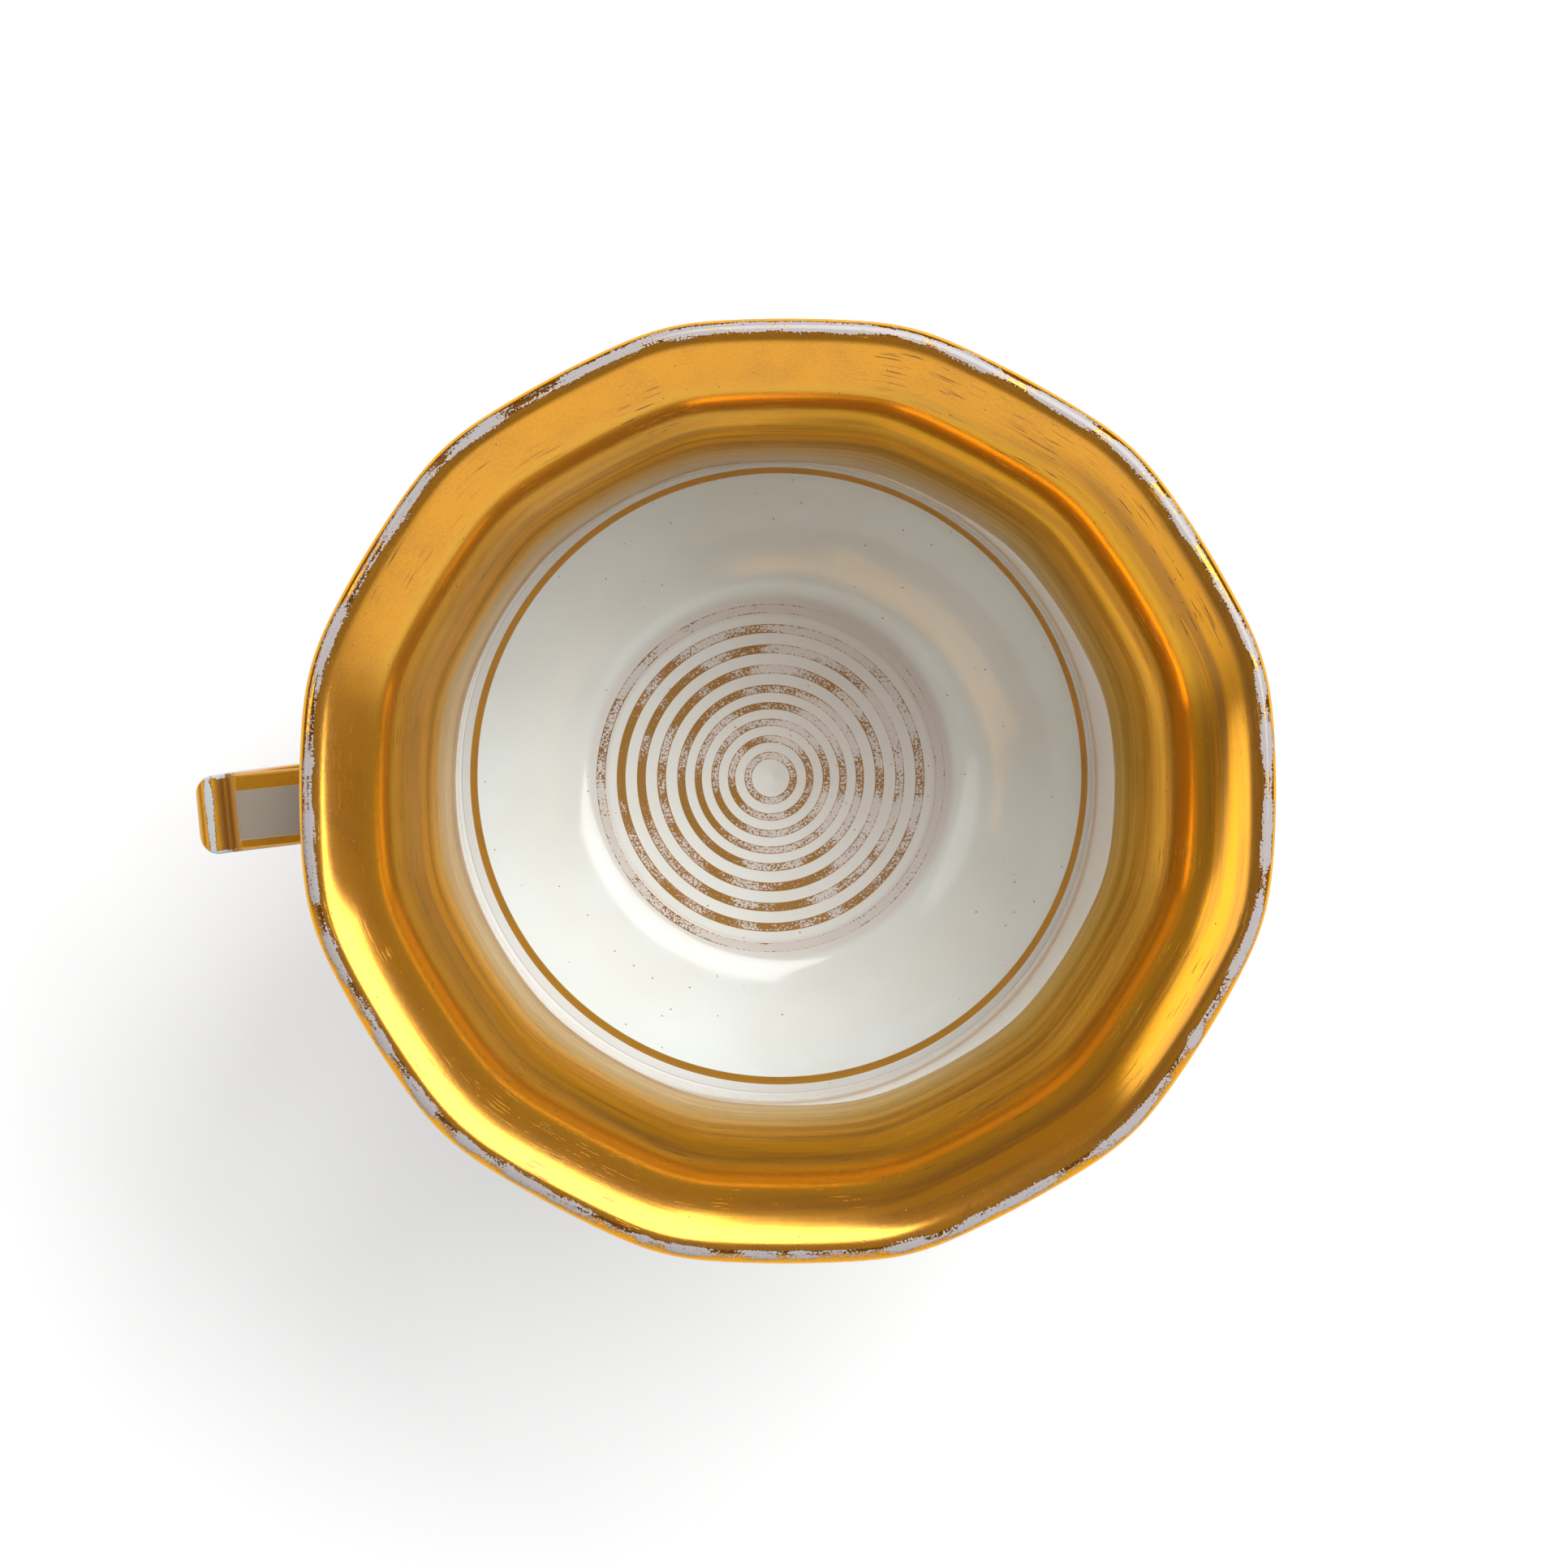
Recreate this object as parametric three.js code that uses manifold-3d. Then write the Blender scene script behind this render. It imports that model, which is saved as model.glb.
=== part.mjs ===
// Footed porcelain cup: a bell-shaped bowl with twelve shallow facets and an everted lip, a hollow spreading
// foot and a strap handle with a thumb roll. Each piece is formed by itself, and slip sticks it to the next
// before firing. Millimetres, +Z up. The foot stands on Z = 0, and the handle points towards -X.
import * as THREE from "three";
import { mergeVertices } from "three/addons/utils/BufferGeometryUtils.js";
import Module from "manifold-3d";

const wasm = await Module();
wasm.setup();

// Bowl
const CUP_HEIGHT = 74; // table to the crest of the lip
const MOUTH_RADIUS = 48.5; // mean radius at the outer edge of the lip
const CREST_INSET = 1.3; // outer edge of the lip in to its crest
const LIP_DROOP = 0.8; // crest of the lip down to the top of its edge
const LIP_THICKNESS = 2.2;
const NECK_RADIUS = 40.3; // inside radius at the corner between brim and wall
const NECK_FLARE = 29; // degrees that the wall leans out under that corner
const NECK_PULL = 10.2; // how far down from the corner the lean holds
const BRIM_DROP = 3.7; // crest of the lip down to that corner
const BRIM_ROUND = 1.3; // how far in from the crest the brim would meet its height if it ran on straight
const CORNER_ROUND = 3.5; // length that the round of that corner takes along brim and wall
const TURN_RADIUS = 33.9; // inside radius where the upright wall turns in to the bottom
const TURN_RISE = 12; // floor up to that turn
const TURN_PULL = 7.5; // how far down from the turn the outside still runs upright
const WALL_PULL = 28; // how far up from the turn the wall still runs upright
const WELL_RADIUS = 17.9; // flat floor
const WELL_BEND = 3.6; // ring round the flat floor over which the bottom bends up
const BOTTOM_SLOPE = 24; // degrees that the bottom climbs outside that ring
const BOTTOM_PULL = 8; // how far up the bottom keeps that slope
const HAUNCH_PULL = 3; // how far down from the turn the inside still runs upright
const FLOOR_THICKNESS = 4;
const WALL_THICKNESS = 2.7;
const FACETS = 12;
const FACET_DEPTH = 0.57; // corner out from the flats beside it, at the lip
const MOUTH_OVAL = 0.82; // mouth drawn out along the handle, and in across it, by the firing
const ROUND_RISE = 10; // floor up to where the facets and the oval begin

// Foot
const FOOT_HEIGHT = 7.6;
const FOOT_RADIUS = 25;
const FOOT_TOE = 1.4; // height of the rounded toe
const FOOT_RING_WIDTH = 3.2; // flat ring that stands on the table
const FOOT_WAIST_RADIUS = 20.6;
const FOOT_WAIST_HEIGHT = 5.3;
const FOOT_SEAT_RADIUS = 21.4; // under the bowl
const FOOT_WALL = 4.6; // wall of the hollow foot at its seat
const SEAT_PULL = 9; // how far out from the seat the underside of the bowl runs level

// Handle
const HANDLE_TOP = 56; // top face of the strap over the table
const HANDLE_REACH = 60.2; // cup's axis to the outermost point
const STRAP_WIDTH = 7.6;
const STRAP_THICKNESS = 4.2;
const STRAP_EDGE = 1; // rounded long edges of the strap
const ELBOW_RADIUS = 3.2; // middle of the strap round its upper corner
const ROLL_RADIUS = 1.6; // thumb roll along that corner
const ROLL_WIDTH = 8.1;
const ROLL_PROUD = 0.5; // roll over the strap's top and past its back
const HEEL_HEIGHT = 26; // middle of the lower end over the table
const DROP_PULL = 14; // how far the back keeps its way down before it sweeps in
const HEEL_PULL = 11; // how far out the lower end runs level
const HANDLE_YAW = 6; // degrees, the strap is stuck on a little askew
const HANDLE_SHIFT = 0.6; // root of the strap beside the middle of its facet

// Slip joints
const SLIP_THICKNESS = 0.4; // bed of slip between foot and bowl
const COLLAR_THICKNESS = 1.2; // collar of slip at each end of the handle
const COLLAR_MARGIN = 0.7; // collar past the strap all round
const CLEARANCE = 0.3; // gap between pieces that meet on a curved face

// How finely curves are cut
const BOWL_STEPS = 72;
const FOOT_STEPS = 48;
const CURVE_STEPS = 5;
const STRAP_STEPS = 6;

const baseZ = FOOT_HEIGHT + SLIP_THICKNESS;
const floorZ = baseZ + FLOOR_THICKNESS;
const roundZ = floorZ + ROUND_RISE;
const turnZ = floorZ + TURN_RISE;
const neckZ = CUP_HEIGHT - BRIM_DROP;

// A point in the plane of radius and height, and steps from one such point to another.
const at = (radius, z) => new THREE.Vector2(radius, z);
const towards = (from, to) => to.clone().sub(from).normalize();
const along = (from, to, length) => from.clone().addScaledVector(towards(from, to), length);

// Corners of the bowl's inside, the lean of its wall, and the same corners on its outside.
const crest = at(MOUTH_RADIUS - CREST_INSET, CUP_HEIGHT);
const neck = at(NECK_RADIUS, neckZ);
const turn = at(TURN_RADIUS, turnZ);
const flare = THREE.MathUtils.degToRad(NECK_FLARE);
const lean = at(Math.sin(flare), Math.cos(flare));
const outerNeck = neck.clone().add(at(lean.y, -lean.x).multiplyScalar(WALL_THICKNESS));
const outerTurn = at(TURN_RADIUS + WALL_THICKNESS, turnZ);
const slope = THREE.MathUtils.degToRad(BOTTOM_SLOPE);
const climb = at(Math.cos(slope), Math.sin(slope));

// The inside of the bowl, from the middle of its floor up to the crest of the lip.
function insideFace() {
  const brimTop = at(crest.x - BRIM_ROUND, crest.y);
  const bend = at(WELL_RADIUS + WELL_BEND / 2, floorZ);
  const bendEnd = bend.clone().addScaledVector(climb, WELL_BEND / 2);
  const bottom = bendEnd.clone().addScaledVector(climb, BOTTOM_PULL);
  const wallEnd = neck.clone().addScaledVector(lean, -CORNER_ROUND);
  const underNeck = neck.clone().addScaledVector(lean, -NECK_PULL);
  const brimStart = along(neck, brimTop, CORNER_ROUND);
  return new THREE.Path()
    .moveTo(0, floorZ)
    .lineTo(WELL_RADIUS, floorZ)
    .quadraticCurveTo(bend.x, bend.y, bendEnd.x, bendEnd.y)
    .bezierCurveTo(bottom.x, bottom.y, turn.x, turn.y - HAUNCH_PULL, turn.x, turn.y)
    .bezierCurveTo(turn.x, turn.y + WALL_PULL, underNeck.x, underNeck.y, wallEnd.x, wallEnd.y)
    .quadraticCurveTo(neck.x, neck.y, brimStart.x, brimStart.y)
    .quadraticCurveTo(brimTop.x, brimTop.y, crest.x, crest.y)
    .getPoints(CURVE_STEPS);
}

// The lip, from its crest over its edge and back in under the brim to the neck.
function lipFace() {
  const edgeRound = LIP_THICKNESS / 2;
  const edge = at(MOUTH_RADIUS, CUP_HEIGHT - LIP_DROOP);
  const under = at(edge.x - edgeRound, edge.y - LIP_THICKNESS);
  const neckStart = along(outerNeck, under, CORNER_ROUND);
  return new THREE.Path()
    .moveTo(crest.x, crest.y)
    .quadraticCurveTo(edge.x - edgeRound / 2, crest.y, edge.x, edge.y)
    .quadraticCurveTo(edge.x, under.y + edgeRound / 2, under.x, under.y)
    .lineTo(neckStart.x, neckStart.y)
    .getPoints(CURVE_STEPS);
}

// The outside of the wall, from the neck down to the foot's seat.
function wallFace() {
  const neckStart = lipFace().at(-1);
  const neckEnd = outerNeck.clone().addScaledVector(lean, -CORNER_ROUND);
  const underNeck = outerNeck.clone().addScaledVector(lean, -NECK_PULL);
  const { x, y } = outerTurn;
  return new THREE.Path()
    .moveTo(neckStart.x, neckStart.y)
    .quadraticCurveTo(outerNeck.x, outerNeck.y, neckEnd.x, neckEnd.y)
    .bezierCurveTo(underNeck.x, underNeck.y, x, y + WALL_PULL, x, y)
    .bezierCurveTo(x, y - TURN_PULL, FOOT_SEAT_RADIUS + SEAT_PULL, baseZ, FOOT_SEAT_RADIUS, baseZ)
    .getPoints(CURVE_STEPS);
}

// Radius of the outside of the wall at a height, before the facets are pressed.
function wallRadiusAt(z) {
  const face = wallFace();
  const below = face.findIndex((point) => point.y <= z);
  const [upper, lower] = [face[below - 1], face[below]];
  return THREE.MathUtils.mapLinear(z, lower.y, upper.y, lower.x, upper.x);
}

// Turns a profile about the Z axis.
const turned = (points, steps) => new THREE.LatheGeometry(points, steps).rotateX(Math.PI / 2);

// Turns one of the bowl's profiles, and presses the facets and the oval in, more towards the lip.
function pressed(points) {
  const geometry = turned(points, BOWL_STEPS);
  const position = geometry.getAttribute("position");
  for (let i = 0; i < position.count; i++) {
    const radius = Math.hypot(position.getX(i), position.getY(i));
    if (radius === 0) continue;
    const angle = Math.atan2(position.getY(i), position.getX(i));
    const share = THREE.MathUtils.clamp((position.getZ(i) - roundZ) / (CUP_HEIGHT - roundZ), 0, 1);
    const swell = MOUTH_OVAL * Math.cos(2 * angle) - (FACET_DEPTH / 2) * Math.cos(FACETS * angle);
    const growth = 1 + (share * swell) / radius;
    position.setXY(i, position.getX(i) * growth, position.getY(i) * growth);
  }
  return geometry;
}

// A closed geometry as a solid for joining and cutting.
function solidOf(geometry) {
  const bare = geometry.clone();
  bare.deleteAttribute("normal");
  bare.deleteAttribute("uv");
  const merged = mergeVertices(bare, 1e-3);
  const vertProperties = merged.getAttribute("position").array;
  const triVerts = new Uint32Array(merged.index.array);
  return new wasm.Manifold(new wasm.Mesh({ numProp: 3, vertProperties, triVerts }));
}

// A solid back as a geometry.
function geometryOf(solid) {
  const { vertProperties, triVerts } = solid.getMesh();
  const geometry = new THREE.BufferGeometry();
  geometry.setAttribute("position", new THREE.BufferAttribute(vertProperties, 3));
  geometry.setIndex(new THREE.BufferAttribute(triVerts, 1));
  geometry.computeVertexNormals();
  return geometry;
}

function bowlGeometry() {
  const faces = [...insideFace(), ...lipFace().slice(1), ...wallFace().slice(1), at(0, baseZ)];
  return pressed(faces.reverse());
}

// All that lies within the outside of the bowl, and the given gap beyond it, to shape what meets the wall.
function withinWall(gap) {
  const face = [...lipFace(), ...wallFace().slice(1)];
  const grown = face.map((point) => at(point.x + gap, point.y));
  return solidOf(pressed([at(0, baseZ), ...grown.reverse(), at(0, CUP_HEIGHT)]));
}

// The hollow foot, whose profile closes on itself.
function footGeometry() {
  const toeRound = FOOT_TOE / 2;
  const ringInside = FOOT_RADIUS - toeRound - FOOT_RING_WIDTH;
  const seatInside = FOOT_SEAT_RADIUS - FOOT_WALL;
  const profile = new THREE.Path()
    .moveTo(ringInside, 0)
    .lineTo(FOOT_RADIUS - toeRound, 0)
    .quadraticCurveTo(FOOT_RADIUS, 0, FOOT_RADIUS, toeRound)
    .lineTo(FOOT_RADIUS, FOOT_TOE)
    .quadraticCurveTo(FOOT_WAIST_RADIUS, FOOT_TOE, FOOT_WAIST_RADIUS, FOOT_WAIST_HEIGHT)
    .quadraticCurveTo(FOOT_WAIST_RADIUS, FOOT_HEIGHT, FOOT_SEAT_RADIUS, FOOT_HEIGHT)
    .lineTo(seatInside, FOOT_HEIGHT)
    .quadraticCurveTo(seatInside, FOOT_TOE, ringInside, 0);
  return turned(profile.getPoints(CURVE_STEPS), FOOT_STEPS);
}

// The bed of slip between the foot's seat and the bowl.
function footSlipGeometry() {
  const seatInside = FOOT_SEAT_RADIUS - FOOT_WALL;
  const corners = [
    at(seatInside, FOOT_HEIGHT),
    at(FOOT_SEAT_RADIUS, FOOT_HEIGHT),
    at(FOOT_SEAT_RADIUS, baseZ),
    at(seatInside, baseZ),
    at(seatInside, FOOT_HEIGHT),
  ];
  return turned(corners, FOOT_STEPS);
}

// Places along the middle of the strap, as distance from the cup's axis and height.
const strapZ = HANDLE_TOP - STRAP_THICKNESS / 2;
const backRadius = HANDLE_REACH - ROLL_PROUD - STRAP_THICKNESS / 2;
const upperRoot = at(wallRadiusAt(strapZ), strapZ);
const lowerRoot = at(wallRadiusAt(HEEL_HEIGHT), HEEL_HEIGHT);

// Middle line of the strap, from inside the wall out, round the elbow, down and back into the wall.
function strapMiddle() {
  const elbow = at(backRadius - ELBOW_RADIUS, strapZ - ELBOW_RADIUS);
  const heel = at(lowerRoot.x + STRAP_THICKNESS, HEEL_HEIGHT);
  return new THREE.Path()
    .moveTo(upperRoot.x - WALL_THICKNESS, strapZ)
    .lineTo(elbow.x, strapZ)
    .quadraticCurveTo(backRadius, strapZ, backRadius, elbow.y)
    .bezierCurveTo(backRadius, elbow.y - DROP_PULL, heel.x + HEEL_PULL, heel.y, heel.x, heel.y)
    .lineTo(lowerRoot.x - WALL_THICKNESS, HEEL_HEIGHT)
    .getPoints(STRAP_STEPS);
}

// Outline of the strap from the side: its middle line moved out and in by half its thickness.
function strapOutline() {
  const middle = strapMiddle();
  const side = (offset) =>
    middle.map((point, i) => {
      const run = towards(middle[Math.max(i - 1, 0)], middle[Math.min(i + 1, middle.length - 1)]);
      return point.clone().addScaledVector(at(-run.y, run.x), offset);
    });
  return new THREE.Shape([...side(STRAP_THICKNESS / 2), ...side(-STRAP_THICKNESS / 2).reverse()]);
}

// Extrudes an outline in the plane of the strap to a width, with rounded edges.
function strapSolid(outline, width, edge) {
  const depth = width - 2 * edge;
  const rounded = { bevelThickness: edge, bevelSize: edge, bevelOffset: -edge, bevelSegments: 2 };
  const geometry = new THREE.ExtrudeGeometry(outline, { depth, curveSegments: STRAP_STEPS, ...rounded });
  return solidOf(placedOnWall(geometry.translate(0, 0, -depth / 2)));
}

// Takes a geometry from the plane of the strap to its place on the bowl.
function placedOnWall(geometry) {
  geometry.rotateX(Math.PI / 2).translate(-upperRoot.x, 0, 0);
  geometry.rotateZ(Math.PI + THREE.MathUtils.degToRad(HANDLE_YAW));
  return geometry.translate(-upperRoot.x, -HANDLE_SHIFT, 0);
}

// The strap and its thumb roll, cut back from the wall by the collars and their gaps.
function handleGeometry() {
  const rollOutline = new THREE.Shape();
  const rollZ = HANDLE_TOP + ROLL_PROUD - ROLL_RADIUS;
  rollOutline.absarc(HANDLE_REACH - ROLL_RADIUS, rollZ, ROLL_RADIUS, 0, 2 * Math.PI);
  const roll = strapSolid(rollOutline, ROLL_WIDTH, STRAP_EDGE);
  const strap = strapSolid(strapOutline(), STRAP_WIDTH, STRAP_EDGE);
  return geometryOf(strap.add(roll).subtract(withinWall(COLLAR_THICKNESS + 2 * CLEARANCE)));
}

// The collar of slip at one end of the strap, shaped to the wall behind it.
function collarGeometry(root) {
  const round = STRAP_EDGE + COLLAR_MARGIN;
  const side = STRAP_WIDTH / 2 + COLLAR_MARGIN - round;
  const rise = STRAP_THICKNESS / 2 + COLLAR_MARGIN - round;
  const outline = new THREE.Shape()
    .absarc(side, rise, round, 0, Math.PI / 2)
    .absarc(-side, rise, round, Math.PI / 2, Math.PI)
    .absarc(-side, -rise, round, Math.PI, 1.5 * Math.PI)
    .absarc(side, -rise, round, 1.5 * Math.PI, 2 * Math.PI);
  const depth = 2 * (WALL_THICKNESS + COLLAR_THICKNESS);
  const block = new THREE.ExtrudeGeometry(outline, { depth, bevelEnabled: false, curveSegments: CURVE_STEPS });
  block.rotateY(Math.PI / 2).translate(root.x - WALL_THICKNESS, root.y, 0);
  const shell = withinWall(CLEARANCE + COLLAR_THICKNESS).subtract(withinWall(CLEARANCE));
  return geometryOf(solidOf(placedOnWall(block)).intersect(shell));
}

function piece(name, geometry, color, roughness, metalness) {
  const mesh = new THREE.Mesh(geometry, new THREE.MeshStandardMaterial({ color, roughness, metalness }));
  mesh.name = name;
  return mesh;
}

const cup = new THREE.Group();
cup.add(
  piece("bowl", bowlGeometry(), 0xeceae2, 0.12, 0),
  piece("foot", footGeometry(), 0xeceae2, 0.12, 0),
  piece("foot_slip", footSlipGeometry(), 0xdedbd2, 0.4, 0),
  piece("handle", handleGeometry(), 0xc08a3c, 0.25, 0.6),
  piece("upper_slip_collar", collarGeometry(upperRoot), 0xeceae2, 0.15, 0),
  piece("lower_slip_collar", collarGeometry(lowerRoot), 0xeceae2, 0.15, 0),
);

// The origin is the middle of the footprint, which the handle draws out to one side of the cup's axis.
const footprint = new THREE.Box3().setFromObject(cup);
cup.position.set(-(footprint.min.x + footprint.max.x) / 2, -(footprint.min.y + footprint.max.y) / 2, 0);

const part = new THREE.Group();
part.add(cup);

export default part;
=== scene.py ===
"""A porcelain tea cup with a worn gilded inside, modelled and finished over its frame."""
import math
from functools import reduce

import bpy
from bpy.props import FloatProperty, FloatVectorProperty, IntProperty, PointerProperty
from bpy.types import Operator, Panel, PropertyGroup
from mathutils import Matrix, Vector
from mathutils.kdtree import KDTree


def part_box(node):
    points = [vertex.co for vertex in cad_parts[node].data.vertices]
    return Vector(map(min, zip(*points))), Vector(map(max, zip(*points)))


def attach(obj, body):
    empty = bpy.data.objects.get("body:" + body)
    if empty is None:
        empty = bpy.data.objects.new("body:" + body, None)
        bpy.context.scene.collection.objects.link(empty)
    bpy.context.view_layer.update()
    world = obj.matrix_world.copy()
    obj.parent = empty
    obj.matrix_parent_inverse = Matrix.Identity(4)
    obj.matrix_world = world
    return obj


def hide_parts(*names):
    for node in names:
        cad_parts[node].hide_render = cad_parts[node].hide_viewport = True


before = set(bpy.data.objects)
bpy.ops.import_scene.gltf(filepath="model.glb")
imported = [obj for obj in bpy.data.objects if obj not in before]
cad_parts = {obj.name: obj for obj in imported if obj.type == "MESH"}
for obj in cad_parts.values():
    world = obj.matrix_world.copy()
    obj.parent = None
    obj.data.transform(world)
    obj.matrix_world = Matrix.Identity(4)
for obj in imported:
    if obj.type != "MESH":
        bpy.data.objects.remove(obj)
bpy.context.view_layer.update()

bl_info = {
    "name": "Gilded Tea Cup",
    "version": (1, 0, 0),
    "blender": (4, 5, 0),
    "location": "3D View > Sidebar > Cup",
    "description": "Models a faceted porcelain tea cup with a worn gilded inside",
    "category": "Add Mesh",
}

MM = 0.001

# Heights of the painted work inside the bowl.
GILDING_HEIGHT = 37.5 * MM
WHITE_HEIGHT = 31 * MM
LINE_HEIGHT = 21.35 * MM

# From the crest of the lip down to the corner under the brim.
NECK_DEPTH = 4 * MM

# Rings on the floor, in millimetres: evenly spaced from the first radius, then wider from the second.
RINGS_FROM = 0.65
RING_STEP = 1.8
WIDE_FROM = 9.65
WIDE_STEP = 2.19
RING_COUNT = 9

# How worn gilding is where nothing rubs it, and how far the glaze on the outside is blended towards the pale
# lit glaze colour.
LIGHT_WEAR = 0.18
OUTSIDE_LIFT = 0.8

# Columns of a turned piece, and steps along each curve of the lip's edge.
COLUMNS = 240
EDGE_STEPS = 8

# Distances under which corners are merged, and under which they count as level with each other.
WELD = 0.001 * MM
NEAR = 0.01 * MM

BOWL_LOW, BOWL_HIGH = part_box("bowl")
FOOT_LOW, FOOT_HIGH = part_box("foot")

# The upright line that the bowl and its foot are turned about.
AXIS = Vector(((FOOT_LOW.x + FOOT_HIGH.x) / 2, (FOOT_LOW.y + FOOT_HIGH.y) / 2, 0))


def length(name, description, millimetres):
    """A size in the panel, shown in the scene's own units."""
    return FloatProperty(
        name=name, description=description, default=millimetres * MM, min=0, unit="LENGTH", precision=5
    )


def degrees(name, description, turn):
    """An angle in the panel."""
    return FloatProperty(name=name, description=description, default=math.radians(turn), subtype="ANGLE")


def paint(name, description, colour):
    """A colour in the panel."""
    return FloatVectorProperty(
        name=name, description=description, default=colour, min=0, max=1, size=3, subtype="COLOR"
    )


class BowlSizes(PropertyGroup):
    """Sizes of the bowl, with radii measured before its facets are pressed in."""

    mouth_radius: length("Mouth Radius", "Radius of the lip's outer edge", 48.5)
    crest_inset: length("Crest Inset", "From the lip's outer edge in to its crest", 1.3)
    lip_droop: length("Lip Droop", "From the crest down to the lip's outer edge", 0.8)
    lip_thickness: length("Lip Thickness", "Height of the rounded edge of the lip", 2.2)
    neck_radius: length("Neck Radius", "Inner radius where the brim turns out", 40.3)
    neck_pull: length("Neck Pull", "How far the flare of the wall is felt below the neck", 10.2)
    brim_drop: length("Brim Drop", "From the crest down to the neck", 3.7)
    brim_round: length("Brim Round", "From the crest in to where the brim's slope would end", 1.3)
    corner_round: length("Corner Round", "Softness of the corner under the brim", 3.5)
    turn_radius: length("Turn Radius", "Inner radius where the wall turns into the bottom", 33.9)
    turn_rise: length("Turn Rise", "Height of that turn above the floor", 12)
    turn_pull: length("Turn Pull", "How far the outside stays upright below the turn", 7.5)
    haunch_pull: length("Haunch Pull", "How far the inside stays upright below the turn", 3)
    wall_pull: length("Wall Pull", "How far the wall stays upright above the turn", 28)
    well_radius: length("Well Radius", "Radius of the flat floor", 17.9)
    well_bend: length("Well Bend", "Width of the ring over which the bottom bends up", 3.6)
    bottom_pull: length("Bottom Pull", "How far the bottom keeps its slope", 8)
    seat_pull: length("Seat Pull", "How far the underside runs level outside the foot", 9)
    floor_thickness: length("Floor Thickness", "Porcelain under the floor", 4)
    wall_thickness: length("Wall Thickness", "Porcelain in the wall", 2.7)
    seat_radius: length("Seat Radius", "Radius where the bowl meets its foot", 21.4)
    facet_depth: length("Facet Depth", "How far a facet's middle lies inside its corners at the lip", 0.57)
    facet_crease: length("Facet Crease", "How much the corners are sharpened", 0.03)
    mouth_oval: length("Mouth Oval", "How far the mouth is drawn out towards the handle", 0.82)
    round_rise: length("Round Rise", "Height above the floor where the facets begin", 10)
    bottom_slope: degrees("Bottom Slope", "Climb of the bottom outside the flat floor", 24)
    neck_flare: degrees("Neck Flare", "Lean of the wall under the neck", 29)
    facets: IntProperty(name="Facets", description="Number of facets round the lip", default=12, min=3)


class FootSizes(PropertyGroup):
    """Sizes of the foot."""

    toe: length("Toe", "Height of the upright edge that stands on the table", 1.4)
    ring_width: length("Ring Width", "Width of the ring that the cup stands on", 3.2)
    waist_radius: length("Waist Radius", "Least radius of the foot", 20.6)
    waist_height: length("Waist Height", "Height of the waist", 5.3)
    wall: length("Wall", "Porcelain in the foot under its seat", 4.6)
    edge_round: length("Edge Round", "Rounding of the toe", 0.7)


class HandleSizes(PropertyGroup):
    """Sizes of the handle, with distances measured out from the cup's axis."""

    top: length("Top", "Height of the strap's upper face", 56)
    reach: length("Reach", "From the cup's axis to the back of the thumb roll", 60.2)
    strap_width: length("Strap Width", "Width of the strap", 7.6)
    strap_thickness: length("Strap Thickness", "Thickness of the strap", 4.2)
    strap_edge: length("Strap Edge", "Rounding of the strap's edges", 0.95)
    elbow_radius: length("Elbow Radius", "Bend of the strap's middle under the roll", 3.2)
    roll_radius: length("Roll Radius", "Radius of the thumb roll", 1.6)
    roll_end: length("Roll End", "Rounding of the roll's corners, seen from above", 2.0)
    roll_width: length("Roll Width", "Width of the thumb roll", 8.1)
    roll_proud: length("Roll Proud", "How far the roll stands above the strap", 0.5)
    valley_depth: length("Valley Depth", "Depth of the groove in front of the roll", 0.75)
    heel_height: length("Heel Height", "Height of the strap's middle where it meets the wall again", 26)
    drop_pull: length("Drop Pull", "How far the strap runs straight down", 14)
    heel_pull: length("Heel Pull", "How far the strap runs level at the heel", 11)
    heel_stub: length("Heel Stub", "Level length of strap at the lower joint", 4.2)
    shift: length("Shift", "How far the upper joint sits to one side of the cup's middle", 0.6)
    fillet: length("Fillet", "Sweep of the slip that joins the strap to the wall", 1.5)
    yaw: degrees("Yaw", "Turn of the handle about its upper joint", 6)


class FinishColours(PropertyGroup):
    """Colours of the glaze, the gilding and what is left where the gilding has worn, with some that paint
    light, shade and reflections.
    """

    glaze: paint("Glaze", "Clear glaze over white porcelain", (0.76, 0.84, 0.85))
    glaze_shade: paint("Glaze Shade", "The glaze where it lies thicker", (0.73, 0.79, 0.78))
    # Painted light: a near-white glaze colour standing in for light let through the thin wall; the white
    # strip inside is blended to it.
    lit_through_glaze: paint("Thin Glaze", "The glaze where the thin wall lets light in", (0.97, 0.98, 0.96))
    speck: paint("Speck", "Iron specks in the glaze", (0.16, 0.10, 0.05))
    gold: paint("Gold", "Burnished gilding", (0.80, 0.375, 0.022))
    gold_deep: paint("Deep Gold", "Gilding where it lies thicker", (0.46, 0.22, 0.036))
    gold_pale: paint("Pale Gold", "Gilding low on the wall, where it lies thin", (0.72, 0.43, 0.135))
    # Painted reflection: a yellower gold for the corner under the brim, so the band mirrored there reads
    # less orange.
    neck_reflection_gold: paint("Neck Gold", "Gilding in the corner under the brim", (0.80, 0.44, 0.035))
    gold_aged: paint("Aged Gold", "Gilding on the floor that use has dulled", (0.34, 0.19, 0.045))
    gold_edge: paint("Gold Edge", "What the gilding keeps of light that grazes it", (0.86, 0.67, 0.30))
    gold_thin: paint("Thin Gold", "Gilding rubbed nearly through", (0.30, 0.16, 0.07))
    scratch: paint("Scratch", "Scratches and pits in the gilding", (0.10, 0.045, 0.035))
    residue: paint("Residue", "Stain on the floor where gilding has worn away", (0.58, 0.53, 0.51))
    # Painted shade: the handle's white panels are tinted warm grey for the lip's shade, warmed by light off
    # the gold.
    panel: paint("Panel", "Warm grey panels on the handle", (0.37, 0.29, 0.215))
    lip_stain: paint("Lip Stain", "Stain on the lip where gilding has worn away", (0.30, 0.235, 0.235))


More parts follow.
